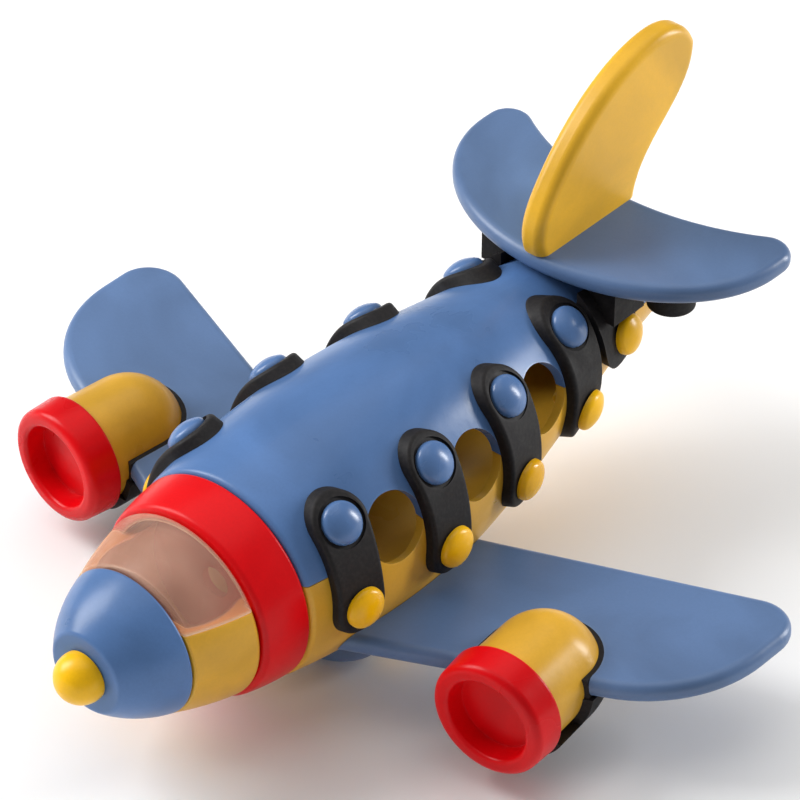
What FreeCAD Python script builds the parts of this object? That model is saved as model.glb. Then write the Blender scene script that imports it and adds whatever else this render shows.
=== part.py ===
import FreeCAD, Part
import math
import os

# A snap-together toy jet: two fuselage shells held by rubber straps and mushroom pins, a cockpit
# with a clear windscreen, a red collar, a turning nose cone, a one-piece wing, two engine pods
# with turning inlet cups, and a crescent tailplane that carries the fin. All sizes in mm.
#
# The parts are drawn in the fuselage frame: X to port, Y aft, Z up, y = 0 at the rear edge of the
# red collar and z = 0 on the axis of the nose. At the end they move to the final frame, whose
# origin is the middle of the bounding box's bottom face.

V = FreeCAD.Vector
SIDES = (("port", 1), ("starboard", -1))

# Overall frame
MID_LENGTH = 56.4       # y of the middle of the whole length
REST_DROP = 34.6        # depth of the flat belly face under the nose axis

# Fuselage
FUSELAGE_LENGTH = 150.0
GAUGE_STATIONS = (0.0, 30.0, 60.0, 90.0, 120.0, 150.0)
GAUGE_RADII = (27.3, 30.6, 29.2, 24.0, 17.6, 13.6)
AXIS_DIP = -1.8         # the axis first dips a little, then sweeps up to the tail
AXIS_RISE = 12.9
SHELL_WALL = 2.5
SHELL_FRONT_ROUND = 1.4
TAIL_ROUND = 7.0
TAIL_WALL = 6.0
SPLIT_HEIGHT = 10.2     # the horizontal seam between the upper and lower shells
SEAM_GAP = 0.2
FIT = 0.05              # radial gap of a pin in its hole

# Windows, straps and pins
STRAP_COUNT = 4
FIRST_STRAP = 13.1
STRAP_PITCH = 29.7
STRAP_LEAN = 0.6         # the upper pin is this much aft of the strap's middle, the lower one forward
STRAP_THICKNESS = 3.0
STRAP_TOP_RADIUS = 7.5
STRAP_FOOT_RADIUS = 7.0
STRAP_WAIST_RADIUS = 120.0
STRAP_ROUND = 1.1
RECESS_RADIUS = 6.2     # round recess in the strap's top, in which the upper pin's head sits
RECESS_DEPTH = 0.9
UPPER_PIN_HEIGHT = 21.0
UPPER_PIN_CLIMB = 0.35     # rise of the upper pin from one strap to the next
LOWER_PIN_HEIGHT = 1.0
WINDOW_RADIUS = 8.6
WINDOW_CENTRE = 12.4
HEAD_RADIUS = 5.2
HEAD_HEIGHT = 3.2
HEAD_EDGE = 0.5
HEAD_SHOULDER = 1.7
SHANK_RADIUS = 2.5
SHANK_LENGTH = 9.0
BARB_RADIUS = 3.1

# Collar, cockpit and nose
COLLAR_FRONT = -13.3
COLLAR_REAR = -0.3
COLLAR_RADII = (24.9, 26.3, 27.0)
COLLAR_BORE = 21.8
COLLAR_FRONT_ROUND = 1.7
COLLAR_REAR_ROUND = 0.9
COLLAR_BORE_ROUND = 0.8
WEB_HOLE = 4.0
COCKPIT_FRONT = -30.5
COCKPIT_REAR = -13.5
COCKPIT_RADII = (19.3, 22.2, 24.2)
COCKPIT_WALL = 2.3
COCKPIT_REAR_ROUND = 1.2
COCKPIT_FRONT_ROUND = 0.7
NECK_END = -3.6
CONE_REAR = -30.8
CONE_MIDDLE = -38.6
CONE_FRONT = -46.1
CONE_RADII = (19.2, 16.0, 10.4)
CONE_WALL = 2.5
CONE_FRONT_ROUND = 1.5
CONE_REAR_ROUND = 0.7
BOSS_RADIUS = 5.0
PLUG_RADIUS = 4.4
TURN_GAP = 0.06         # radial running gap of a turning part
END_GAP = 0.3           # gap between the faces of parts that turn against each other
BALL_RADIUS = 6.4
BALL_CENTRE = -47.6
NOSE_SHANK_END = -21.0

# Wing and belly saddle
WING_TOP_AT_ROOT = -13.5
WING_DIHEDRAL = math.degrees(math.atan(0.067))
WING_THICKNESS = 5.2
WING_EDGE_ROUND = 2.3
HALF_SPAN = 105.4
LEADING_ROOT = (0.0, 1.2)
LEADING_TIP = (HALF_SPAN, 44.8)
TRAILING_TIP = (HALF_SPAN, 88.0)
TRAILING_ROOT = (0.0, 51.9)
LEADING_TIP_ROUND = 34.0
TRAILING_TIP_ROUND = 9.5
SADDLE_FRONT = 20.0
SADDLE_REAR = 60.0
SADDLE_THICKNESS = 5.0
SADDLE_TOP = -15.5
SADDLE_ROUND = 1.6
KEEL_HALF_WIDTH = 9.0
KEEL_FRONT = 17.0
KEEL_REAR = 78.0
KEEL_ROUND = 1.2
BELLY_PIN_STATIONS = (33.0, 50.0)
BELLY_PIN_ANGLE = -52.0
BELLY_SHANK_LENGTH = 11.0

# Engines
POD_X = 68.5
POD_Y = 12.5
POD_Z = -13.0
POD_TOE = 5.9           # the inlets point slightly outwards
INLET_LENGTH = 8.9
INLET_RADII = (14.8, 15.3)
INLET_RECESS = 5.2
INLET_MOUTH = 10.8
INLET_FLOOR = 10.0
INLET_LIP_ROUND = 2.0
INLET_MOUTH_ROUND = 1.2
INLET_REAR_ROUND = 0.8
POD_FRONT = INLET_LENGTH + END_GAP
POD_RADII = (13.6, 13.4)
POD_DOME_START = 23.2
POD_DOME_LENGTH = 14.0
POD_BORE = 11.0
SPIGOT_END = 15.5
GASKET = 1.2
CRADLE = 2.3
CRADLE_RIM = -20.6      # height of its rim ahead of the wing
CRADLE_PIN = (65.0, 60.0)
CRADLE_PIN_DEPTH = 6.6
TAB_RADIUS = 7.0

# Tail
TAILPLANE_TOP = 32.15
TAILPLANE_THICKNESS = 5.2
TAILPLANE_HALF_SPAN = 46.8
TAILPLANE_TIP_Y = 145.0
TAILPLANE_NOSE_Y = 108.3
TAILPLANE_NOTCH_Y = 142.9
TAILPLANE_REAR_RADIUS = 72.8
TAILPLANE_TIP_ROUND = 6.3
FIN_THICKNESS = 7.2
FIN_NOSE_ROUND = 2.6
FIN_LEADING = ((108.4, 32.15), (107.6, 39.5), (112.9, 50.5), (122.4, 61.2), (134.1, 69.6))
FIN_TOP = ((147.0, 74.2), (158.3, 73.9), (165.5, 66.8))
FIN_TRAILING = ((165.5, 66.8), (162.2, 56.0), (150.7, 44.0), (144.3, 32.15))
TENON_FRONT = 118.0
TENON_REAR = 138.0
TENON_FOOT = 24.7
TENON_HALF_WIDTH = 2.0
BRACKET_STATION = 121.0
BRACKET_PIN_HEIGHT = 10.8
BRACKET_LEAN = 2.0      # the bracket's strap is this much forward of its pin
BRACKET_RADIUS = 7.4
TAB_BOSS_X = 28.0
TAB_BOSS_Y = 128.0
TAB_BOSS_RADIUS = 6.0
TAB_BOSS_DEPTH = 6.2
BRACKET_TOP = TAILPLANE_TOP - TAILPLANE_THICKNESS - 0.05
BRACKET_INNER = 12.0
BRACKET_OUTER = 21.0
GUSSET_FRONT = 115.0
GUSSET_FOOT = 17.0
SEAT_HALF_WIDTH = 5.9
SEAT_FRONT = 113.0
SEAT_REAR = 146.0
KNOB_RADIUS = 3.0
KNOB_HEIGHT = 2.6


def fuselage_radius(y):
    """Radius of the round fuselage section at y: the curve through the gauge radii."""
    total = 0.0
    for i, station in enumerate(GAUGE_STATIONS):
        weight = 1.0
        for j, other in enumerate(GAUGE_STATIONS):
            if i != j:
                weight *= (y - other) / (station - other)
        total += weight * GAUGE_RADII[i]
    return total


def fuselage_axis(y):
    """Height of the section's centre at y."""
    t = y / FUSELAGE_LENGTH
    return AXIS_DIP * t + AXIS_RISE * t * t


def hull(offset, start=0.0, end=FUSELAGE_LENGTH):
    """Solid fuselage form, grown by offset."""
    sections = 11
    wires = []
    for i in range(sections):
        y = start + (end - start) * i / (sections - 1)
        circle = Part.Circle(V(0, y, fuselage_axis(y)), V(0, 1, 0), fuselage_radius(y) + offset)
        wires.append(Part.Wire(circle.toShape()))
    return Part.makeLoft(wires, True, False)


def skin_place(y, angle, side, lift):
    """Point on the skin at that station and angle above the horizontal, lifted off it, and its normal."""
    step = 0.01
    slope = (fuselage_radius(y + step) - fuselage_radius(y - step)) / (2 * step)
    climb = (fuselage_axis(y + step) - fuselage_axis(y - step)) / (2 * step)
    a = math.radians(angle)
    normal = V(side * math.cos(a), -slope - climb * math.sin(a), math.sin(a))
    normal.normalize()
    radius = fuselage_radius(y)
    point = V(side * radius * math.cos(a), y, fuselage_axis(y) + radius * math.sin(a))
    return point + normal * lift, normal


def angle_at_height(y, height, lift):
    """Angle above the horizontal at which the lifted skin is at that height."""
    return math.degrees(math.asin((height - fuselage_axis(y)) / (fuselage_radius(y) + lift)))


def along(shape, point, direction):
    """Moves a shape made along +Z so that its origin is at point and its axis along direction."""
    placed = shape.copy()
    placed.Placement = FreeCAD.Placement(point, FreeCAD.Rotation(V(0, 0, 1), direction))
    return placed


def block(x0, x1, y0, y1, z0, z1):
    return Part.makeBox(x1 - x0, y1 - y0, z1 - z0, V(x0, y0, z0))


def above(height):
    return block(-200, 200, -100, 250, height, height + 200)


def below(height):
    return block(-200, 200, -100, 250, height - 200, height)


def turned(points, axis_point=V(0, 0, 0), axis=V(0, 1, 0)):
    """Revolves a closed outline, given as edges, about an axis."""
    return Part.Face(Part.Wire(points)).revolve(axis_point, axis, 360)


def line(a, b):
    return Part.LineSegment(V(*a), V(*b)).toShape()


def arc(a, b, c):
    return Part.Arc(V(*a), V(*b), V(*c)).toShape()


def loop(points):
    """Straight edges round a list of points."""
    return [line(a, b) for a, b in zip(points, points[1:] + points[:1])]


def rounded(shape, radius, keep):
    """Rounds the edges for which keep(edge) is true."""
    edges = [e for e in shape.Edges if keep(e)]
    return shape.makeFillet(radius, edges)


def on_circle(y, radius, tolerance=0.05):
    """Test for the circular edges at y with that radius."""
    def test(edge):
        curve = edge.Curve
        is_round = hasattr(curve, "Radius") and hasattr(curve, "Center")
        return is_round and abs(curve.Center.y - y) < tolerance and abs(curve.Radius - radius) < tolerance
    return test


def end_rim(y):
    """Test for the rim of a lofted form's end face at y."""
    def test(edge):
        box = edge.BoundBox
        return box.YLength < 0.01 and abs(box.YMin - y) < 0.01 and box.ZLength > 5.0
    return test


def head_dome():
    """Domed top of a pin head, from its rim to the axis: a small shoulder arc, then a large cap arc."""
    height = HEAD_HEIGHT - HEAD_EDGE
    inset = HEAD_RADIUS - HEAD_SHOULDER
    cap = (inset ** 2 + height ** 2 - HEAD_SHOULDER ** 2) / (2 * (height - HEAD_SHOULDER))
    cap_centre = HEAD_HEIGHT - cap
    join = math.atan2(HEAD_EDGE - cap_centre, inset)

    def on_shoulder(angle):
        return inset + HEAD_SHOULDER * math.cos(angle), 0, HEAD_EDGE + HEAD_SHOULDER * math.sin(angle)

    def on_cap(angle):
        return cap * math.cos(angle), 0, cap_centre + cap * math.sin(angle)
    return [
        arc(on_shoulder(0), on_shoulder(join / 2), on_shoulder(join)),
        arc(on_cap(join), on_cap((join + math.pi / 2) / 2), (0, 0, HEAD_HEIGHT)),
    ]


def pin(point, normal, shank_length=SHANK_LENGTH, end_radius=BARB_RADIUS):
    """Mushroom pin: a domed head, a shank and a snap end. The head sits at point and faces normal."""
    end = -shank_length
    corners = [
        (0, 0, HEAD_HEIGHT), (0, 0, end), (SHANK_RADIUS * 0.6, 0, end), (end_radius, 0, end + 2.0),
        (SHANK_RADIUS, 0, end + 2.6), (SHANK_RADIUS, 0, 0), (HEAD_RADIUS, 0, 0), (HEAD_RADIUS, 0, HEAD_EDGE),
    ]
    edges = head_dome() + [line(a, b) for a, b in zip(corners, corners[1:])]
    return along(turned(edges, V(0, 0, 0), V(0, 0, 1)), point, normal)


def pin_hole(point, normal, depth=20.0, radius=SHANK_RADIUS + FIT):
    """Cutter for a pin's shank, from just outside the head's seat inwards."""
    drill = Part.makeCylinder(radius, depth + 1.0, V(0, 0, -depth))
    return along(drill, point, normal)


# Fuselage pins and straps

def strap_stations():
    return [FIRST_STRAP + STRAP_PITCH * i for i in range(STRAP_COUNT)]


def strap_seats(y, side):
    """Seats of the upper and the lower pin head on the strap at y: two (point, normal) pairs."""
    upper_height = UPPER_PIN_HEIGHT + UPPER_PIN_CLIMB * (y - FIRST_STRAP) / STRAP_PITCH
    upper_lift = STRAP_THICKNESS - RECESS_DEPTH
    upper_y = y + STRAP_LEAN
    lower_y = y - STRAP_LEAN
    upper_angle = angle_at_height(upper_y, upper_height, STRAP_THICKNESS)
    lower_angle = angle_at_height(lower_y, LOWER_PIN_HEIGHT, STRAP_THICKNESS)
    return [skin_place(upper_y, upper_angle, side, upper_lift),
            skin_place(lower_y, lower_angle, side, STRAP_THICKNESS)]


def capsule(top_radius, foot_radius, length, waist_radius, thickness):
    """Flat plate round two lobes, the top one at the origin, joined by hollow sides."""
    reach_top = top_radius + waist_radius
    reach_foot = foot_radius + waist_radius
    drop = (reach_foot ** 2 - reach_top ** 2 - length ** 2) / (2 * length)
    out = math.sqrt(reach_top ** 2 - drop ** 2)
    a = V(out, drop, 0) * (top_radius / reach_top)
    b = V(0, -length, 0) + V(out, drop + length, 0) * (foot_radius / reach_foot)
    waist = V(out, drop, 0) + (V(0, -length / 2, 0) - V(out, drop, 0)).normalize() * waist_radius
    mirror = [V(-p.x, p.y, 0) for p in (a, waist, b)]
    edges = [
        Part.Arc(mirror[0], V(0, top_radius, 0), a).toShape(),
        Part.Arc(a, waist, b).toShape(),
        Part.Arc(b, V(0, -length - foot_radius, 0), mirror[2]).toShape(),
        Part.Arc(mirror[2], mirror[1], mirror[0]).toShape(),
    ]
    return Part.Face(Part.Wire(edges)).extrude(V(0, 0, thickness))


def strap(y, side, skin, lifted_skin):
    """Moulded rubber strap over the seam, curved to the skin, with a hole at each pin."""
    (top, top_normal), (foot, foot_normal) = strap_seats(y, side)
    facing = (top_normal + foot_normal).normalize()
    rise = (top - foot) - facing * (top - foot).dot(facing)
    length = rise.Length
    rise.normalize()
    across = rise.cross(facing)
    plate = capsule(STRAP_TOP_RADIUS, STRAP_FOOT_RADIUS, length, STRAP_WAIST_RADIUS, 40.0)
    plate.Placement = FreeCAD.Placement(FreeCAD.Matrix(
        across.x, rise.x, facing.x, top.x - 30 * facing.x,
        across.y, rise.y, facing.y, top.y - 30 * facing.y,
        across.z, rise.z, facing.z, top.z - 30 * facing.z,
        0, 0, 0, 1))
    body = plate.common(lifted_skin).cut(skin)

    def outer_edge(edge):
        middle = edge.valueAt((edge.FirstParameter + edge.LastParameter) / 2)
        lift = math.hypot(middle.x, middle.z - fuselage_axis(middle.y)) - fuselage_radius(middle.y)
        return lift > STRAP_THICKNESS * 0.8
    body = rounded(body, STRAP_ROUND, outer_edge)
    body = body.cut(along(Part.makeCylinder(RECESS_RADIUS, 10.0), top, top_normal))
    for point, normal in ((top, top_normal), (foot, foot_normal)):
        body = body.cut(pin_hole(point, normal))
    return body


# Shells

def window_cutter(y, side):
    """Cutter for a round window through one wall of the fuselage."""
    angle = angle_at_height(y, WINDOW_CENTRE, 0)
    point, normal = skin_place(y, angle, side, 0)
    return along(Part.makeCylinder(WINDOW_RADIUS, 16.0, V(0, 0, -8.0)), point, normal)


def fuselage_shells(pin_seats):
    """The lower and upper shells, with their windows and pin holes."""
    outer = rounded(hull(0), SHELL_FRONT_ROUND, end_rim(0))
    outer = rounded(outer, TAIL_ROUND, end_rim(FUSELAGE_LENGTH))
    body = outer.cut(hull(-SHELL_WALL, -1.0, FUSELAGE_LENGTH - TAIL_WALL))
    for _, side in SIDES:
        for y in strap_stations()[:-1]:
            body = body.cut(window_cutter(y + STRAP_PITCH / 2, side))
    for point, normal in pin_seats:
        body = body.cut(pin_hole(point, normal, 16.0))
    lower = body.common(below(SPLIT_HEIGHT - SEAM_GAP / 2))
    upper = body.common(above(SPLIT_HEIGHT + SEAM_GAP / 2))
    return lower, upper


# Collar, cockpit and nose

def collar_ring():
    """Red collar: a ring with an inner web at the back and a spigot that enters the shells' mouth."""
    front, middle, rear = COLLAR_RADII
    mid_y = (COLLAR_FRONT + COLLAR_REAR) / 2
    web_front = NECK_END + 0.2
    web_rear = web_front + 2.0
    spigot = fuselage_radius(0) - SHELL_WALL - 0.2
    corners = [
        (rear, COLLAR_REAR, 0), (spigot, COLLAR_REAR, 0), (spigot, 4.7, 0), (COLLAR_BORE + 0.4, 4.7, 0),
        (COLLAR_BORE + 0.4, web_rear, 0), (WEB_HOLE, web_rear, 0), (WEB_HOLE, web_front, 0),
        (COLLAR_BORE, web_front, 0), (COLLAR_BORE, COLLAR_FRONT, 0), (front, COLLAR_FRONT, 0),
    ]
    edges = [line(a, b) for a, b in zip(corners, corners[1:])]
    edges.append(arc((front, COLLAR_FRONT, 0), (middle, mid_y, 0), (rear, COLLAR_REAR, 0)))
    ring = turned(edges)
    ring = rounded(ring, COLLAR_FRONT_ROUND, on_circle(COLLAR_FRONT, front))
    ring = rounded(ring, COLLAR_REAR_ROUND, on_circle(COLLAR_REAR, rear))
    return rounded(ring, COLLAR_BORE_ROUND, on_circle(COLLAR_FRONT, COLLAR_BORE))


def cockpit_section(wall, front_wall):
    """Revolved cockpit form with its neck, hollowed by wall. front_wall is the front bulkhead."""
    front, middle, rear = COCKPIT_RADII
    mid_y = (COCKPIT_FRONT + COCKPIT_REAR) / 2
    neck = COLLAR_BORE - 0.15
    outer_arc = arc((front, COCKPIT_FRONT, 0), (middle, mid_y, 0), (rear, COCKPIT_REAR, 0))
    corners = [
        (rear, COCKPIT_REAR, 0), (neck, COCKPIT_REAR, 0), (neck, NECK_END, 0), (0, NECK_END, 0),
        (0, COCKPIT_FRONT, 0), (front, COCKPIT_FRONT, 0),
    ]
    outer = turned([outer_arc] + [line(a, b) for a, b in zip(corners, corners[1:])])
    outer = rounded(outer, COCKPIT_REAR_ROUND, on_circle(COCKPIT_REAR, rear))
    outer = rounded(outer, COCKPIT_FRONT_ROUND, on_circle(COCKPIT_FRONT, front))
    inner_front = COCKPIT_FRONT + front_wall
    front_corner = (front - wall + 0.6, inner_front, 0)
    inner_arc = arc(front_corner, (middle - wall, mid_y, 0), (neck - wall, COCKPIT_REAR, 0))
    inner_corners = [
        (neck - wall, COCKPIT_REAR, 0), (neck - wall, NECK_END + 1, 0), (0, NECK_END + 1, 0),
        (0, inner_front, 0), front_corner,
    ]
    inner = turned([inner_arc] + [line(a, b) for a, b in zip(inner_corners, inner_corners[1:])])
    return outer.cut(inner)


def cockpit_tub():
    """Yellow lower half of the cockpit, with the bulkhead that holds the nose plug."""
    tub = cockpit_section(COCKPIT_WALL, 2.6).common(below(SPLIT_HEIGHT - SEAM_GAP / 2))
    return tub.cut(Part.makeCylinder(PLUG_RADIUS + FIT, 6.0, V(0, COCKPIT_FRONT - 1, 0), V(0, 1, 0)))


def windscreen():
    """Clear canopy, the upper half of the cockpit."""
    return cockpit_section(COCKPIT_WALL, 2.3).common(above(SPLIT_HEIGHT + SEAM_GAP / 2))


def nose_plug():
    """Rubber plug in the bulkhead, which grips the nose pin."""
    flange = COCKPIT_FRONT + 2.6
    bore = SHANK_RADIUS + FIT
    corners = [
        (bore, COCKPIT_FRONT, 0), (PLUG_RADIUS, COCKPIT_FRONT, 0), (PLUG_RADIUS, flange, 0),
        (PLUG_RADIUS + 2.4, flange, 0), (PLUG_RADIUS + 1.0, flange + 3.0, 0), (bore, flange + 3.0, 0),
    ]
    return turned(loop(corners))


def nose_cone():
    """Blue nose cone with a flat front, hollow round a bored boss."""
    rear, middle, front = CONE_RADII
    bore = SHANK_RADIUS + TURN_GAP
    floor_y = CONE_FRONT + 3.2
    corners = [
        (front, CONE_FRONT, 0), (bore, CONE_FRONT, 0), (bore, CONE_REAR, 0), (BOSS_RADIUS, CONE_REAR, 0),
        (BOSS_RADIUS, floor_y, 0), (front - 1.6, floor_y, 0),
    ]
    edges = [line(a, b) for a, b in zip(corners, corners[1:])]
    edges.append(arc((front - 1.6, floor_y, 0), (middle - CONE_WALL, CONE_MIDDLE + 0.8, 0),
                     (rear - CONE_WALL, CONE_REAR, 0)))
    edges.append(line((rear - CONE_WALL, CONE_REAR, 0), (rear, CONE_REAR, 0)))
    edges.append(arc((rear, CONE_REAR, 0), (middle, CONE_MIDDLE, 0), (front, CONE_FRONT, 0)))
    cone = turned(edges)
    cone = rounded(cone, CONE_FRONT_ROUND, on_circle(CONE_FRONT, front))
    return rounded(cone, CONE_REAR_ROUND, on_circle(CONE_REAR, rear))


def nose_pin():
    """Ball-headed pin on which the nose cone turns."""
    seat = CONE_FRONT - END_GAP
    seat_radius = math.sqrt(BALL_RADIUS ** 2 - (seat - BALL_CENTRE) ** 2)
    tip = BALL_CENTRE - BALL_RADIUS
    edges = [
        arc((0, tip, 0), (BALL_RADIUS, BALL_CENTRE, 0), (seat_radius, seat, 0)),
        line((seat_radius, seat, 0), (SHANK_RADIUS, seat, 0)),
        line((SHANK_RADIUS, seat, 0), (SHANK_RADIUS, NOSE_SHANK_END, 0)),
        line((SHANK_RADIUS, NOSE_SHANK_END, 0), (0, NOSE_SHANK_END, 0)),
        line((0, NOSE_SHANK_END, 0), (0, tip, 0)),
    ]
    return turned(edges)


# Engines. Drawn along +Z from the inlet's front face, then laid on the pod's axis.

def pod_direction(side):
    toe = math.radians(POD_TOE)
    return V(-side * math.sin(toe), math.cos(toe), 0)


def lay_pod(shape, side):
    return along(shape, V(side * POD_X, POD_Y, POD_Z), pod_direction(side))


def pod_form(offset, start):
    """Solid of the pod's outside, grown by offset, from start to the rear of the dome."""
    front, rear = (radius + offset for radius in POD_RADII)
    tip = POD_DOME_START + POD_DOME_LENGTH + offset
    centre = V(0, 0, POD_DOME_START)
    dome = Part.ArcOfEllipse(Part.Ellipse(V(0, 0, tip), V(rear, 0, centre.z), centre), 0, math.pi / 2)
    edges = [
        dome.toShape(), line((rear, 0, centre.z), (front, 0, start)),
        line((front, 0, start), (0, 0, start)), line((0, 0, start), (0, 0, tip)),
    ]
    return turned(edges, V(0, 0, 0), V(0, 0, 1))


def pod(side):
    """Yellow engine pod, a deep cup with a domed rear."""
    bore_end = POD_DOME_START - 1.0
    bore = Part.makeCylinder(POD_BORE, bore_end).fuse(Part.makeSphere(POD_BORE, V(0, 0, bore_end)))
    return lay_pod(pod_form(0, POD_FRONT).cut(bore), side)


def inlet(side):
    """Red inlet cup, dished in front, with a spigot that turns in the pod's bore."""
    front, rear = INLET_RADII
    spigot = POD_BORE - TURN_GAP
    inside = spigot - 2.4
    corners = [
        (0, 0, INLET_RECESS), (INLET_FLOOR, 0, INLET_RECESS), (INLET_MOUTH, 0, 0), (front, 0, 0),
        (rear, 0, INLET_LENGTH), (spigot, 0, INLET_LENGTH), (spigot, 0, SPIGOT_END), (inside, 0, SPIGOT_END),
        (inside, 0, INLET_LENGTH - 1.0), (0, 0, INLET_LENGTH - 1.0),
    ]
    cup = turned(loop(corners), V(0, 0, 0), V(0, 0, 1))
    cup = rounded(cup, INLET_LIP_ROUND, on_ring(0, front))
    cup = rounded(cup, INLET_MOUTH_ROUND, on_ring(0, INLET_MOUTH))
    cup = rounded(cup, INLET_REAR_ROUND, on_ring(INLET_LENGTH, rear))
    return lay_pod(cup, side)


def on_ring(z, radius, tolerance=0.05):
    """Test for the circular edges round Z at z with that radius."""
    def test(edge):
        curve = edge.Curve
        is_round = hasattr(curve, "Radius") and hasattr(curve, "Center")
        return is_round and abs(curve.Center.z - z) < tolerance and abs(curve.Radius - radius) < tolerance
    return test


# Wing. Drawn flat under z = 0, then tilted up about the root by the dihedral.

def tilt_wing(shape, side):
    """Lays a shape drawn under the wing's flat top plane into the port or starboard wing."""
    tilted = shape.copy()
    if side < 0:
        tilted = tilted.mirror(V(0, 0, 0), V(1, 0, 0))
    turn = FreeCAD.Rotation(V(0, 1, 0), -side * WING_DIHEDRAL)
    tilted.Placement = FreeCAD.Placement(V(0, 0, WING_TOP_AT_ROOT), turn)
    return tilted


def plate(points, thickness):
    """Straight-sided plate hanging down from z = 0."""
    face = Part.Face(Part.Wire(loop([(x, y, 0) for x, y in points])))
    return face.extrude(V(0, 0, -thickness))


def upright_at(x, y):
    """Test for the vertical edge through that point."""
    def test(edge):
        box = edge.BoundBox
        upright = box.XLength < 0.01 and box.YLength < 0.01
        return upright and abs(box.XMin - x) < 0.1 and abs(box.YMin - y) < 0.1
    return test


def level_at(heights, tolerance=0.01):
    """Test for the edges that lie flat at one of those heights."""
    def test(edge):
        box = edge.BoundBox
        return box.ZLength < tolerance and any(abs(box.ZMin - z) < tolerance for z in heights)
    return test


def wing_blank(thickness):
    """Square-edged wing panel with a round tip."""
    outline = [LEADING_ROOT, LEADING_TIP, TRAILING_TIP, TRAILING_ROOT]
    panel = rounded(plate(outline, thickness), LEADING_TIP_ROUND, upright_at(*LEADING_TIP))
    return rounded(panel, TRAILING_TIP_ROUND, upright_at(*TRAILING_TIP))


def wing_panel(side):
    """One swept wing panel with full round edges."""
    panel = wing_blank(WING_THICKNESS)

    def skin_edge(edge):
        return level_at((0, -WING_THICKNESS))(edge) and edge.BoundBox.XMax > 0.1
    return tilt_wing(rounded(panel, WING_EDGE_ROUND, skin_edge), side)


def saddle():
    """Centre section that wraps the belly, with the flat keel that the toy rests on."""
    wrap = hull(SADDLE_THICKNESS).common(block(-60, 60, SADDLE_FRONT, SADDLE_REAR, -60, SADDLE_TOP))

    for end in (SADDLE_FRONT, SADDLE_REAR):
        wrap = rounded(wrap, SADDLE_ROUND, end_rim(end))
    keel = block(-KEEL_HALF_WIDTH, KEEL_HALF_WIDTH, KEEL_FRONT, KEEL_REAR, -REST_DROP, SADDLE_TOP)
    corners = [upright_at(side * KEEL_HALF_WIDTH, y) for _, side in SIDES for y in (KEEL_FRONT, KEEL_REAR)]
    keel = rounded(keel, KEEL_HALF_WIDTH - 0.5, lambda edge: any(test(edge) for test in corners))
    keel = rounded(keel, KEEL_ROUND, level_at((-REST_DROP,)))
    return wrap.fuse(keel).cut(block(-60, 60, -60, 200, -60, -REST_DROP))


def belly_seats():
    """Seats of the pins that hold the saddle to the lower shell."""
    places = [(y, side) for y in BELLY_PIN_STATIONS for _, side in SIDES]
    return [skin_place(y, BELLY_PIN_ANGLE, side, SADDLE_THICKNESS) for y, side in places]


def cradle_pin_seat(side):
    """Seat of the pin under the wing behind the pod."""
    x, y = CRADLE_PIN
    down = FreeCAD.Rotation(V(0, 1, 0), -side * WING_DIHEDRAL).multVec(V(0, 0, -1))
    turn = FreeCAD.Rotation(V(0, 1, 0), -side * WING_DIHEDRAL)
    point = V(0, 0, WING_TOP_AT_ROOT) + turn.multVec(V(side * x, y, -WING_THICKNESS - CRADLE))
    return point, down


def wing():
    """One-piece wing: both panels, the saddle, a notch for each pod and the pin holes."""
    body = saddle().fuse([wing_panel(side) for _, side in SIDES])
    body = body.cut(hull(0.1, -5.0, FUSELAGE_LENGTH))
    for _, side in SIDES:
        body = body.cut(lay_pod(pod_form(GASKET + FIT, 0.0), side))
        body = body.cut(pin_hole(*cradle_pin_seat(side), depth=CRADLE_PIN_DEPTH + 0.2))
    for point, normal in belly_seats():
        body = body.cut(pin_hole(point, normal))
    return body.removeSplitter()


def cradle_side(side):
    """Side view of the cradle, swept like the wing: a low rim that steps up at the wing's leading edge."""
    x = 40.0
    sweep = (LEADING_TIP[1] - LEADING_ROOT[1]) / HALF_SPAN
    edge = LEADING_ROOT[1] + x * sweep
    corners = [(edge + 0.5, -5), (edge - 1.5, CRADLE_RIM), (edge - 20, CRADLE_RIM), (edge - 20, -35),
               (edge + 60, -35), (edge + 60, -5)]
    profile = Part.makePolygon([V(side * x, y, z) for y, z in corners + corners[:1]])
    return Part.Face(profile).extrude(V(side * 60, 60 * sweep, 0))


def cradle(side):
    """Rubber cradle: a gasket in the wing's notch, a trough under the pod and a tab under the wing."""
    in_wing = tilt_wing(wing_blank(WING_THICKNESS + 0.1), side)
    gasket = lay_pod(pod_form(GASKET, POD_FRONT), side).common(in_wing)
    under = tilt_wing(block(POD_X - 30, POD_X + 30, 0, 90, -60, -WING_THICKNESS - 0.1), side)
    trough = lay_pod(pod_form(CRADLE, POD_FRONT + 1.2), side).common(under)
    trough = trough.common(cradle_side(side))
    x, y = CRADLE_PIN
    tab = block(x - TAB_RADIUS, x + TAB_RADIUS, y - 18, y, -WING_THICKNESS - CRADLE, -WING_THICKNESS - 0.1)
    tab = tab.fuse(Part.makeCylinder(TAB_RADIUS, CRADLE - 0.1, V(x, y, -WING_THICKNESS - CRADLE)))
    body = gasket.fuse([trough, tilt_wing(tab, side)])
    body = body.cut(lay_pod(pod_form(FIT, 0.0), side))
    return body.cut(pin_hole(*cradle_pin_seat(side), depth=CRADLE_PIN_DEPTH + 0.2)).removeSplitter()


# Tail

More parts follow.
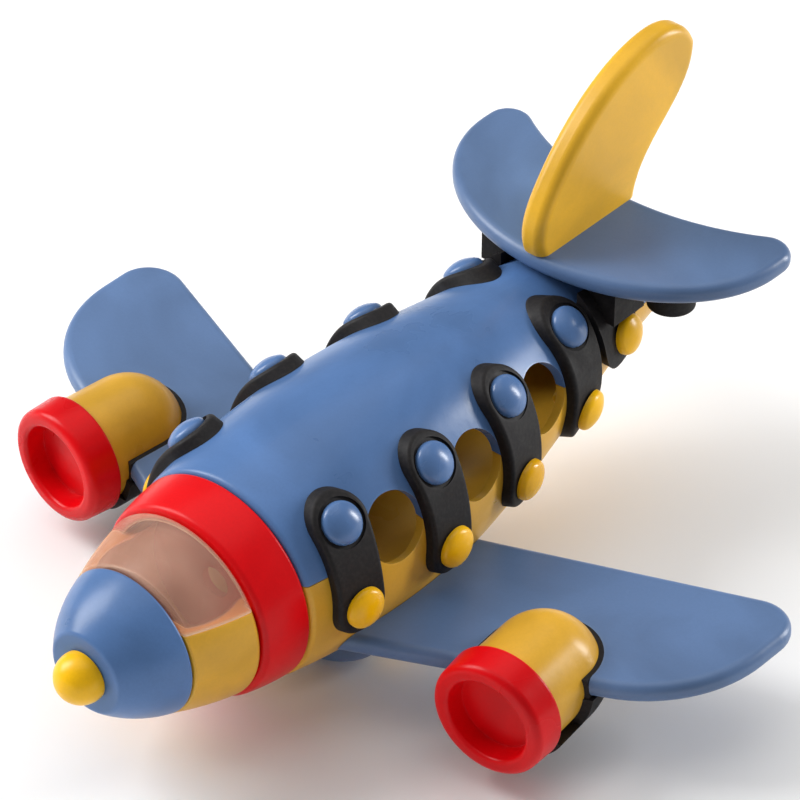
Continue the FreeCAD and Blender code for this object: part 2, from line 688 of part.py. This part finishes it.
def tailplane():
    """Blue crescent tailplane with round tips and edges, a slot for the fin and sockets for the brackets."""
    a = TAILPLANE_HALF_SPAN
    chord = TAILPLANE_TIP_Y - TAILPLANE_NOSE_Y
    front = Part.Ellipse(V(0, TAILPLANE_TIP_Y, 0), a, chord)
    tip_y = TAILPLANE_NOTCH_Y + TAILPLANE_REAR_RADIUS - math.sqrt(TAILPLANE_REAR_RADIUS ** 2 - a ** 2)
    edges = [
        Part.ArcOfEllipse(front, math.pi, 2 * math.pi).toShape(),
        line((a, TAILPLANE_TIP_Y, 0), (a, tip_y, 0)),
        arc((a, tip_y, 0), (0, TAILPLANE_NOTCH_Y, 0), (-a, tip_y, 0)),
        line((-a, tip_y, 0), (-a, TAILPLANE_TIP_Y, 0)),
    ]
    body = Part.Face(Part.Wire(edges)).extrude(V(0, 0, -TAILPLANE_THICKNESS))
    tips = [upright_at(side * a, tip_y) for _, side in SIDES]
    body = rounded(body, TAILPLANE_TIP_ROUND, lambda edge: any(test(edge) for test in tips))
    body = rounded(body, WING_EDGE_ROUND, level_at((0, -TAILPLANE_THICKNESS)))
    body.translate(V(0, 0, TAILPLANE_TOP))
    body = body.cut(tenon_slot())
    for _, side in SIDES:
        body = body.cut(Part.makeCylinder(KNOB_RADIUS + FIT, KNOB_HEIGHT + 0.2, knob_foot(side)))
    return body


def tenon_slot():
    """Cutter for the fin's tenon, with the fit all round."""
    half = TENON_HALF_WIDTH + FIT
    return block(-half, half, TENON_FRONT - FIT, TENON_REAR + FIT, 0, 60)


def spline(points):
    curve = Part.BSplineCurve()
    curve.interpolate([V(0, y, z) for y, z in points])
    return curve.toShape()


def fin():
    """Yellow swept fin with a full round front edge and a tenon below."""
    foot_front, foot_rear = FIN_LEADING[0], FIN_TRAILING[-1]
    edges = [spline(FIN_LEADING + FIN_TOP), spline(FIN_TRAILING), line((0, *foot_rear), (0, *foot_front))]
    body = Part.Face(Part.Wire(edges)).extrude(V(FIN_THICKNESS, 0, 0))
    body.translate(V(-FIN_THICKNESS / 2, 0, 0))

    def side_edge(edge):
        box = edge.BoundBox
        flat = box.XLength < 0.01
        return flat and box.ZLength > 5.0

    body = rounded(body, FIN_NOSE_ROUND, side_edge)
    half = TENON_HALF_WIDTH
    tenon = block(-half, half, TENON_FRONT, TENON_REAR, TENON_FOOT, TAILPLANE_TOP + 1.0)
    return body.fuse(tenon).removeSplitter()


def knob_foot(side):
    """Foot of the knob that a tail bracket presses into the tailplane."""
    return V(side * TAB_BOSS_X, TAB_BOSS_Y, TAILPLANE_TOP - TAILPLANE_THICKNESS)


def bracket_seat(side):
    angle = angle_at_height(BRACKET_STATION, BRACKET_PIN_HEIGHT, STRAP_THICKNESS)
    return skin_place(BRACKET_STATION, angle, side, STRAP_THICKNESS)


def tail_bracket(side, skin, lifted_skin):
    """Rubber bracket: a strap down the tail's side, a gusset, and a tab with a knob under the tailplane."""
    point, normal = bracket_seat(side)
    r = BRACKET_RADIUS
    middle = BRACKET_STATION - BRACKET_LEAN
    inner = BRACKET_INNER
    foot = Part.makeCylinder(r, 40, V(inner, middle, point.z), V(1, 0, 0))
    strip = block(inner, 60, middle - r, middle + r, point.z, BRACKET_TOP).fuse(foot)
    gusset = block(inner, BRACKET_OUTER, GUSSET_FRONT, middle + r, GUSSET_FOOT, BRACKET_TOP)
    front, rear = TAB_BOSS_Y - TAB_BOSS_RADIUS, TAB_BOSS_Y + TAB_BOSS_RADIUS
    tab = block(inner, TAB_BOSS_X, front, rear, BRACKET_TOP - STRAP_THICKNESS, BRACKET_TOP)
    boss_floor = V(TAB_BOSS_X, TAB_BOSS_Y, BRACKET_TOP - TAB_BOSS_DEPTH)
    tab = tab.fuse(Part.makeCylinder(TAB_BOSS_RADIUS, TAB_BOSS_DEPTH, boss_floor))
    if side < 0:
        strip, gusset, tab = (shape.mirror(V(0, 0, 0), V(1, 0, 0)) for shape in (strip, gusset, tab))
    body = strip.common(lifted_skin).fuse([gusset, tab]).cut(skin).cut(pin_hole(point, normal))
    knob = Part.makeCylinder(KNOB_RADIUS, KNOB_HEIGHT + 0.05, knob_foot(side) - V(0, 0, 0.05))
    return body.fuse(knob).removeSplitter()


def tail_seat(skin):
    """Rubber pad between the fuselage and the tailplane, slotted for the fin's tenon."""
    body = block(-SEAT_HALF_WIDTH, SEAT_HALF_WIDTH, SEAT_FRONT, SEAT_REAR, 16, BRACKET_TOP)
    return body.cut(skin).cut(tenon_slot())


def make_nodes():
    """All pieces by node name, in the fuselage frame."""
    nodes = {}
    skin = hull(FIT)
    lifted_skin = hull(STRAP_THICKNESS)
    shell_pins = belly_seats()
    for side_name, side in SIDES:
        for i, y in enumerate(strap_stations(), 1):
            upper_seat, lower_seat = strap_seats(y, side)
            nodes[f"strap_{side_name}_{i}"] = strap(y, side, skin, lifted_skin)
            nodes[f"upper_pin_{side_name}_{i}"] = pin(*upper_seat)
            nodes[f"lower_pin_{side_name}_{i}"] = pin(*lower_seat)
            shell_pins += [upper_seat, lower_seat]
        nodes[f"tail_bracket_{side_name}"] = tail_bracket(side, skin, lifted_skin)
        nodes[f"tail_pin_{side_name}"] = pin(*bracket_seat(side))
        shell_pins.append(bracket_seat(side))
        nodes[f"pod_{side_name}"] = pod(side)
        nodes[f"inlet_{side_name}"] = inlet(side)
        nodes[f"cradle_{side_name}"] = cradle(side)
        nodes[f"cradle_pin_{side_name}"] = pin(*cradle_pin_seat(side), CRADLE_PIN_DEPTH, SHANK_RADIUS - 0.3)
    for i, seat in enumerate(belly_seats(), 1):
        nodes[f"belly_pin_{i}"] = pin(*seat, BELLY_SHANK_LENGTH)
    nodes["lower_shell"], nodes["upper_shell"] = fuselage_shells(shell_pins)
    nodes["collar_ring"] = collar_ring()
    nodes["cockpit_tub"] = cockpit_tub()
    nodes["windscreen"] = windscreen()
    nodes["nose_plug"] = nose_plug()
    nodes["nose_cone"] = nose_cone()
    nodes["nose_pin"] = nose_pin()
    nodes["wing"] = wing()
    nodes["tailplane"] = tailplane()
    nodes["fin"] = fin()
    nodes["tail_seat"] = tail_seat(skin)
    return nodes


os.makedirs("parts", exist_ok=True)
for name, shape in make_nodes().items():
    shape.translate(V(0, -MID_LENGTH, REST_DROP))
    shape.exportStep(f"parts/{name}.step")
    print(f"{name}: {len(shape.Solids)} solid, valid {shape.isValid()}, volume {shape.Volume / 1000:.2f} cm3")
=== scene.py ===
import math

import bpy
from mathutils import Matrix, Vector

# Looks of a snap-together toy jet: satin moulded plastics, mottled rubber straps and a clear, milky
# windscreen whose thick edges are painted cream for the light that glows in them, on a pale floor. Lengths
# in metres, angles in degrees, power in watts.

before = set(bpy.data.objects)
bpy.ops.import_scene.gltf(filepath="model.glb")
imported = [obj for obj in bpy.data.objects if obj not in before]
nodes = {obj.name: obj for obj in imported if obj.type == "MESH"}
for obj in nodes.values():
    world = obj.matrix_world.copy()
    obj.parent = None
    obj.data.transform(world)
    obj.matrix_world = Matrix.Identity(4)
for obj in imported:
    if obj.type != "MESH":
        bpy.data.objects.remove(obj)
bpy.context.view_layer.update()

# Camera: a long lens, from the port bow and above
CAMERA_AZIMUTH = 41.04
CAMERA_ELEVATION = 38.38
CAMERA_ROLL = 0.46
CAMERA_DISTANCE = 1.1431
CAMERA_AIM = Vector((0.00085, 0.0036, 0.05108))
CAMERA_LENS = 218.0          # millimetres, as is the sensor
CAMERA_SENSOR = 36.0
CLIP_NEAR = 0.05
CLIP_FAR = 20.0

# Soft lights: name, direction (right, top and back of the camera's view), distance, width, height, power
SOFTBOXES = (
    ("key", (-0.82, 0.60, 0.18), 1.2, 0.5, 0.9, 14.0),
    ("side", (0.94, 0.40, -0.06), 1.2, 0.16, 0.6, 9.5),
    ("overhead", (-0.05, 0.85, 0.40), 1.6, 1.8, 1.8, 9.5),
)
WORLD_WHITE = (1.0, 1.0, 1.0, 1.0)
WORLD_STRENGTH = 0.30
FLOOR_HALF = 2.0

# Colours, as seen in even light (sRGB, 0 to 255)
FULL = 255.0
SHELL_BLUE = (82, 117, 168)
WING_BLUE = (88, 116, 158)
MUSTARD = (216, 164, 50)
FIN_YELLOW = (236, 180, 44)
PIN_YELLOW = (250, 184, 2)
RED = (214, 2, 12)
RUBBER = (17, 14, 16)
RUBBER_DUST = (52, 47, 45)
SMOKE = (255, 244, 236)
MILK = (255, 204, 180)
# Painted glow: two cream tones that stand for the light caught in the windscreen's thick edges
PAINTED_GLOW_CREAM_DARK = (222, 198, 164)
PAINTED_GLOW_CREAM_LIGHT = (244, 228, 200)
FLOOR = (252, 252, 252)

# Grain of the finishes: noise scales, in features to the metre
CLOUD_SCALE = 26.0
GRAIN_SCALE = 1500.0
SCUFF_SCALE = 90.0
SCUFF_STRETCH = (1.0, 0.16, 1.0)
WEAR_SCALE = 240.0
PEEL_SCALE = 420.0
MOTTLE_SCALE = 150.0
SPECK_SCALE = 1100.0
RUBBER_WEAR_SCALE = 320.0
PEBBLE_SCALE = 900.0
HAZE_SCALE = 60.0
RIPPLE_SCALE = 300.0
BOARD_SCALE = 3.0
BOARD_GRAIN_SCALE = 500.0

# Widths over which edges wear, and over which the windscreen's edges take their painted cream glow
PLASTIC_EDGE = 0.0009
RUBBER_EDGE = 0.0011
CLEAR_EDGE = 0.0014
BEVEL_SAMPLES = 4

# Depths of the skins
SKIN_DEPTH = 0.0002
GRAIN_DEPTH = 0.00005

# Refractive indices
PLASTIC_IOR = 1.48
RUBBER_IOR = 1.5
CLEAR_IOR = 1.46


def srgb(colour, factor=1.0):
    """Linear colour with alpha from an sRGB triple."""
    linear = []
    for value in colour:
        c = min(value * factor, FULL) / FULL
        linear.append(c / 12.92 if c <= 0.04045 else ((c + 0.055) / 1.055) ** 2.4)
    return (*linear, 1.0)


# Node helpers

class Tree:
    """A new material's node tree, with short calls for the nodes that every finish uses."""

    def __init__(self, name):
        self.material = bpy.data.materials.new(name)
        self.material.use_nodes = True
        self.tree = self.material.node_tree
        self.tree.nodes.clear()
        self.place = self.node("ShaderNodeTexCoord").outputs["Object"]

    def node(self, kind, **settings):
        made = self.tree.nodes.new(kind)
        for key, value in settings.items():
            setattr(made, key, value)
        return made

    def join(self, source, target):
        self.tree.links.new(source, target)

    def noise(self, scale, detail=2.0, stretch=(1.0, 1.0, 1.0), distortion=0.0):
        mapping = self.node("ShaderNodeMapping")
        mapping.inputs["Scale"].default_value = stretch
        self.join(self.place, mapping.inputs["Vector"])
        made = self.node("ShaderNodeTexNoise")
        made.inputs["Scale"].default_value = scale
        made.inputs["Detail"].default_value = detail
        made.inputs["Distortion"].default_value = distortion
        self.join(mapping.outputs[0], made.inputs["Vector"])
        return made.outputs["Fac"]

    def ramp(self, source, low, high, start=0.0, end=1.0):
        """Maps source from low..high to start..end, clamped."""
        made = self.node("ShaderNodeMapRange", clamp=True)
        self.join(source, made.inputs["Value"])
        for key, value in (("From Min", low), ("From Max", high), ("To Min", start), ("To Max", end)):
            made.inputs[key].default_value = value
        return made.outputs["Result"]

    def patches(self, scale, low, high, start=0.0, end=1.0, **noise):
        """Noise, mapped from low..high to start..end."""
        return self.ramp(self.noise(scale, **noise), low, high, start, end)

    def vary(self, source, start, end):
        """Maps a source of 0..1 to start..end."""
        return self.ramp(source, 0.0, 1.0, start, end)

    def math(self, operation, a, b):
        made = self.node("ShaderNodeMath", operation=operation)
        for socket, value in zip(made.inputs, (a, b)):
            if isinstance(value, (int, float)):
                socket.default_value = value
            else:
                self.join(value, socket)
        return made.outputs[0]

    def times(self, a, b):
        return self.math("MULTIPLY", a, b)

    def mix(self, factor, a, b):
        """Mixes two colours; each is a socket or an RGBA tuple."""
        made = self.node("ShaderNodeMix", data_type="RGBA")
        for socket, value in ((made.inputs[0], factor), (made.inputs[6], a), (made.inputs[7], b)):
            if isinstance(value, (int, float, tuple)):
                socket.default_value = value
            else:
                self.join(value, socket)
        return made.outputs[2]

    def edges(self, radius, turn):
        """0 where the rounded normal agrees with the skin's, 1 where their dot product has lost turn."""
        bevel = self.node("ShaderNodeBevel", samples=BEVEL_SAMPLES)
        bevel.inputs["Radius"].default_value = radius
        skin = self.node("ShaderNodeNewGeometry")
        dot = self.node("ShaderNodeVectorMath", operation="DOT_PRODUCT")
        self.join(bevel.outputs[0], dot.inputs[0])
        self.join(skin.outputs["Normal"], dot.inputs[1])
        return self.ramp(dot.outputs["Value"], 1.0, 1.0 - turn)

    def bump(self, height, strength, distance=SKIN_DEPTH, below=None):
        """Normal raised by a height, over the normal below if there is one."""
        made = self.node("ShaderNodeBump")
        made.inputs["Strength"].default_value = strength
        made.inputs["Distance"].default_value = distance
        self.join(height, made.inputs["Height"])
        if below is not None:
            self.join(below, made.inputs["Normal"])
        return made.outputs[0]

    def surface(self, colour, roughness, normal, **settings):
        shader = self.node("ShaderNodeBsdfPrincipled")
        self.join(colour, shader.inputs["Base Color"])
        self.join(roughness, shader.inputs["Roughness"])
        self.join(normal, shader.inputs["Normal"])
        for key, value in settings.items():
            shader.inputs[key.replace("_", " ")].default_value = value
        return shader

    def blend(self, factor, a, b):
        """Mixes two shaders."""
        made = self.node("ShaderNodeMixShader")
        self.join(factor, made.inputs["Fac"])
        self.join(a.outputs[0], made.inputs[1])
        self.join(b.outputs[0], made.inputs[2])
        return made

    def output(self, shader):
        end = self.node("ShaderNodeOutputMaterial")
        self.join(shader.outputs[0], end.inputs["Surface"])
        return self.material


# Finishes

def moulded_plastic(name, colour, roughness=0.30, gloss=0.35):
    """Satin moulded plastic: cloudy pigment, faint orange peel, fine scuffs and paler, polished edges."""
    dark, light, pitted = srgb(colour, 0.9), srgb(colour, 1.06), srgb(colour, 0.78)
    pale = srgb([c + 0.35 * (FULL - c) for c in colour])
    t = Tree(name)
    cloud = t.patches(CLOUD_SCALE, 0.34, 0.66, detail=4.0, distortion=0.6)
    grain = t.patches(GRAIN_SCALE, 0.3, 0.7)
    scuff = t.patches(SCUFF_SCALE, 0.62, 0.74, detail=5.0, stretch=SCUFF_STRETCH, distortion=0.4)
    worn = t.times(t.edges(PLASTIC_EDGE, 0.25), t.patches(WEAR_SCALE, 0.35, 0.65, start=0.35, detail=3.0))
    body = t.mix(cloud, dark, light)
    body = t.mix(t.times(grain, 0.10), body, pitted)
    body = t.mix(t.times(worn, 0.30), body, pale)
    rough = t.math("ADD", t.vary(cloud, roughness - 0.04, roughness + 0.05), t.times(scuff, 0.10))
    rough = t.math("SUBTRACT", rough, t.times(worn, 0.08))
    peel = t.bump(t.noise(PEEL_SCALE), 0.10)
    normal = t.bump(grain, 0.05, GRAIN_DEPTH, peel)
    return t.output(t.surface(body, rough, normal, IOR=PLASTIC_IOR, Specular_IOR_Level=gloss))


def moulded_rubber(name):
    """Dark moulded rubber: brownish mottling, a pebbled skin and dusty, paler edges."""
    dust = srgb(RUBBER_DUST)
    t = Tree(name)
    mottle = t.patches(MOTTLE_SCALE, 0.36, 0.66, detail=5.0, distortion=1.2)
    speck = t.patches(SPECK_SCALE, 0.42, 0.72, detail=3.0)
    worn = t.times(t.edges(RUBBER_EDGE, 0.35), t.patches(RUBBER_WEAR_SCALE, 0.3, 0.7, start=0.3, detail=3.0))
    body = t.mix(mottle, srgb(RUBBER, 0.72), srgb(RUBBER, 1.2))
    body = t.mix(t.times(speck, 0.28), body, dust)
    body = t.mix(t.times(worn, 0.35), body, dust)
    rough = t.math("SUBTRACT", t.vary(mottle, 0.58, 0.70), t.times(worn, 0.16))
    normal = t.bump(t.noise(PEBBLE_SCALE, detail=3.0), 0.22)
    return t.output(t.surface(body, rough, normal, IOR=RUBBER_IOR, Specular_IOR_Level=0.3))


def clear_plastic(name):
    """Clear moulded plastic: a see-through body with a milky cast, a satin gloss and thick edges painted
    cream for the light that glows in them.
    """
    t = Tree(name)
    haze = t.patches(HAZE_SCALE, 0.3, 0.7, detail=4.0, distortion=0.5)
    # Mask of the thick edges, where a painted cream glow is laid
    glow_edge_mask = t.edges(CLEAR_EDGE, 0.35)
    rough = t.vary(haze, 0.26, 0.34)
    normal = t.bump(t.noise(RIPPLE_SCALE), 0.06)
    see_through = t.node("ShaderNodeBsdfTransparent")
    t.join(t.mix(haze, srgb(SMOKE, 0.99), srgb(SMOKE)), see_through.inputs["Color"])
    milk_colour = t.mix(haze, srgb(MILK, 0.96), srgb(MILK))
    milk = t.surface(milk_colour, rough, normal, IOR=CLEAR_IOR, Specular_IOR_Level=0.5)
    body = t.blend(t.vary(haze, 0.20, 0.30), see_through, milk)
    # Painted edge glow: an opaque cream surface over the edges that stands in for light glowing along them
    painted_edge_glow = t.surface(t.mix(haze, srgb(PAINTED_GLOW_CREAM_DARK), srgb(PAINTED_GLOW_CREAM_LIGHT)), rough, normal, IOR=CLEAR_IOR)
    return t.output(t.blend(t.times(glow_edge_mask, 0.75), body, painted_edge_glow))


def floor_finish():
    """Matt pale board with the faintest unevenness."""
    t = Tree("pale_floor")
    cloud = t.patches(BOARD_SCALE, 0.3, 0.7, detail=3.0)
    colour = t.mix(cloud, srgb(FLOOR, 0.992), srgb(FLOOR))
    rough = t.vary(cloud, 0.85, 0.95)
    normal = t.bump(t.noise(BOARD_GRAIN_SCALE), 0.02)
    return t.output(t.surface(colour, rough, normal))


def paint(finish, *names):
    """Gives a finish to the CAD nodes with these names; a name ending in _ stands for all it begins."""
    for node_name, piece in nodes.items():
        if any(node_name == n or (n.endswith("_") and node_name.startswith(n)) for n in names):
            piece.data.materials.clear()
            piece.data.materials.append(finish)


def paint_nodes():
    paint(moulded_plastic("shell_blue", SHELL_BLUE), "upper_shell", "nose_cone")
    paint(moulded_plastic("wing_blue", WING_BLUE, roughness=0.36, gloss=0.5), "wing", "tailplane")
    paint(moulded_plastic("pin_blue", SHELL_BLUE, roughness=0.27, gloss=0.5), "upper_pin_")
    paint(moulded_plastic("mustard", MUSTARD), "lower_shell", "cockpit_tub", "pod_")
    paint(moulded_plastic("fin_yellow", FIN_YELLOW, roughness=0.34), "fin")
    paint(moulded_plastic("pin_yellow", PIN_YELLOW, roughness=0.27),
          "lower_pin_", "tail_pin_", "belly_pin_", "cradle_pin_", "nose_pin")
    paint(moulded_plastic("red", RED, roughness=0.28, gloss=0.2), "collar_ring", "inlet_")
    paint(moulded_rubber("rubber"),
          "strap_", "tail_bracket_", "tail_seat", "cradle_port", "cradle_starboard", "nose_plug")
    paint(clear_plastic("clear"), "windscreen")


# Stage

def matrix_of(x, y, z, origin):
    """World matrix with these axes and origin."""
    rows = [(x[i], y[i], z[i], origin[i]) for i in range(3)]
    return Matrix((*rows, (0.0, 0.0, 0.0, 1.0)))


def camera_frame():
    """Unit vectors from the aim point to the camera, and to the picture's right and top."""
    az = math.radians(CAMERA_AZIMUTH)
    el = math.radians(CAMERA_ELEVATION)
    back = Vector((math.sin(az) * math.cos(el), -math.cos(az) * math.cos(el), math.sin(el)))
    right = Vector((math.cos(az), math.sin(az), 0.0))
    top = back.cross(right)
    roll = math.radians(CAMERA_ROLL)
    return back, right * math.cos(roll) + top * math.sin(roll), top * math.cos(roll) - right * math.sin(roll)


def add_camera():
    back, right, top = camera_frame()
    data = bpy.data.cameras.new("camera")
    data.lens = CAMERA_LENS
    data.sensor_width = CAMERA_SENSOR
    data.clip_start = CLIP_NEAR
    data.clip_end = CLIP_FAR
    camera = bpy.data.objects.new("camera", data)
    bpy.context.scene.collection.objects.link(camera)
    camera.matrix_world = matrix_of(right, top, back, CAMERA_AIM + back * CAMERA_DISTANCE)
    bpy.context.scene.camera = camera


def add_floor():
    half = FLOOR_HALF
    corners = [(-half, -half, 0), (half, -half, 0), (half, half, 0), (-half, half, 0)]
    mesh = bpy.data.meshes.new("floor")
    mesh.from_pydata(corners, [], [(0, 1, 2, 3)])
    mesh.materials.append(floor_finish())
    floor = bpy.data.objects.new("floor", mesh)
    bpy.context.scene.collection.objects.link(floor)


def add_softbox(name, direction, distance, width, height, power):
    """White area light that faces the toy from a direction in the camera's view."""
    back, right, top = camera_frame()
    away = (right * direction[0] + top * direction[1] + back * direction[2]).normalized()
    data = bpy.data.lights.new(name, "AREA")
    data.shape = "RECTANGLE"
    data.size = width
    data.size_y = height
    data.energy = power
    lamp = bpy.data.objects.new(name, data)
    bpy.context.scene.collection.objects.link(lamp)
    side = Vector((0, 0, 1)).cross(away).normalized()
    lamp.matrix_world = matrix_of(side, away.cross(side), away, CAMERA_AIM + away * distance)


def add_lights():
    for softbox in SOFTBOXES:
        add_softbox(*softbox)
    world = bpy.data.worlds.new("studio")
    world.use_nodes = True
    background = world.node_tree.nodes["Background"]
    background.inputs["Color"].default_value = WORLD_WHITE
    background.inputs["Strength"].default_value = WORLD_STRENGTH
    bpy.context.scene.world = world


def set_view():
    settings = bpy.context.scene.view_settings
    settings.view_transform = "Standard"
    settings.look = "None"
    settings.exposure = 0.0


add_camera()
paint_nodes()
add_floor()
add_lights()
set_view()
